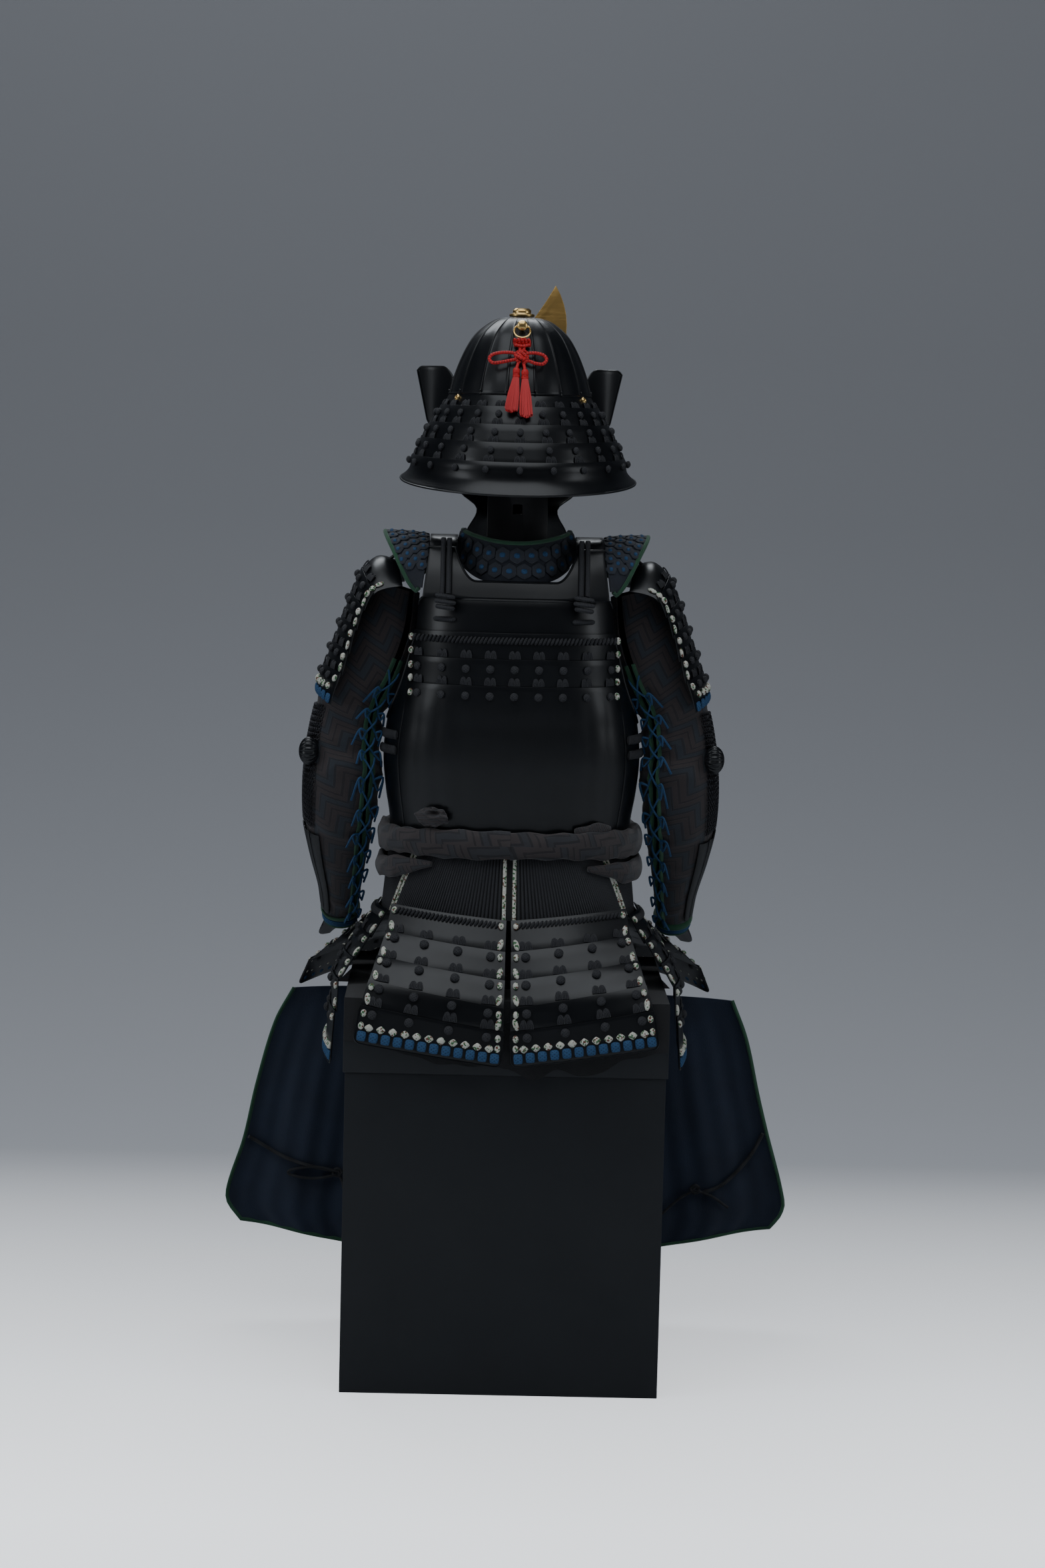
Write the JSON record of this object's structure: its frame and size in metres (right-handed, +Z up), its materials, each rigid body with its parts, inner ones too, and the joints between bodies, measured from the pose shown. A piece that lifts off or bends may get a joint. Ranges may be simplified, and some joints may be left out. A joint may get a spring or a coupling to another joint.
{
  "type": "samurai armour on its chest and stand",
  "caption": "Full samurai armour with helmet, seated on its lidded storage chest over a plain wooden stand; the helmet lifts off",
  "frame": {"origin": "middle of the chest's underside", "axes": "+Z up, the armour's front faces -Y, the wearer's left is +X"},
  "size_m": [0.8797, 0.546, 1.62],
  "materials": {
    "lacquer": "black lacquered iron, satin with bright rims",
    "gilt": "gilt brass, brushed on the crest",
    "red_silk": "braided and spun red silk",
    "black_braid": "black braided silk lacing",
    "figured_braid": "white, green and brown figured braid",
    "blue_braid": "mid blue braided cord",
    "green_binding": "dark green woven binding",
    "brocade": "woven silk with a brown and grey-blue pattern",
    "apron_lining": "dark blue plain woven cotton",
    "brigandine": "small hexagon plates under dark cloth, quilted",
    "mail": "blackened iron mail",
    "chest_paint": "matt dark grey lacquered wood",
    "black_wood": "black painted wood",
    "cover_cloth": "plain black woven cotton"
  },
  "bodies": {
    "root": {"chest_lid": "chest_paint", "chest_body": "chest_paint", "cover_cloth": "cover_cloth", "stand_frame": "black_wood", "helmet_rest": "black_wood", "throat_guard": "lacquer", "back_upper_plate": "lacquer", "back_lame_upper": "lacquer", "back_lame_lower": "lacquer", "back_lower_plate": "lacquer", "side_plate_left": "lacquer", "side_plate_right": "lacquer", "front_lower_plate": "lacquer", "front_upper_plate": "lacquer", "yoke": "lacquer", "collar": "brigandine", "shoulder_wing_left": "brigandine", "shoulder_wing_right": "brigandine", "shoulder_shield_left": "lacquer", "shoulder_shield_right": "lacquer", "sleeve_left": "brocade", "sleeve_right": "brocade", "forearm_plate_left": "lacquer", "forearm_plate_right": "lacquer", "elbow_boss_left": "lacquer", "elbow_boss_right": "lacquer", "hand_guard_left": "lacquer", "hand_guard_right": "lacquer", "sash_upper_roll": "brocade", "sash_lower_roll": "brocade", "sash_knot": "brocade", "lacing_curtain": "black_braid", "tasset_back_left": "lacquer", "tasset_back_right": "lacquer", "tasset_side_left": "lacquer", "tasset_side_right": "lacquer", "tasset_front_side_left": "lacquer", "tasset_front_side_right": "lacquer", "tasset_front": "lacquer", "apron_yoke": "brocade", "apron_panel_left": "apron_lining", "apron_panel_right": "apron_lining", "apron_tie_left": "black_braid", "apron_tie_right": "black_braid"},
    "helmet": {"helmet_bowl": "lacquer", "helmet_top_ring": "gilt", "turnback_left": "lacquer", "turnback_right": "lacquer", "helmet_peak": "lacquer", "helmet_crest": "gilt", "helmet_cord_ring": "gilt", "helmet_cord_bow": "red_silk", "helmet_tassel_left": "red_silk", "helmet_tassel_right": "red_silk", "neck_lame_1": "lacquer", "neck_lame_2": "lacquer", "neck_lame_3": "lacquer", "neck_lame_4": "lacquer", "neck_lame_5": "lacquer"}
  },
  "joints": [
    {"name": "helmet_lift", "type": "slide", "parent": "root", "child": "helmet", "axis": [0, 0, 1], "range_m": [0, 0.3]}
  ]
}
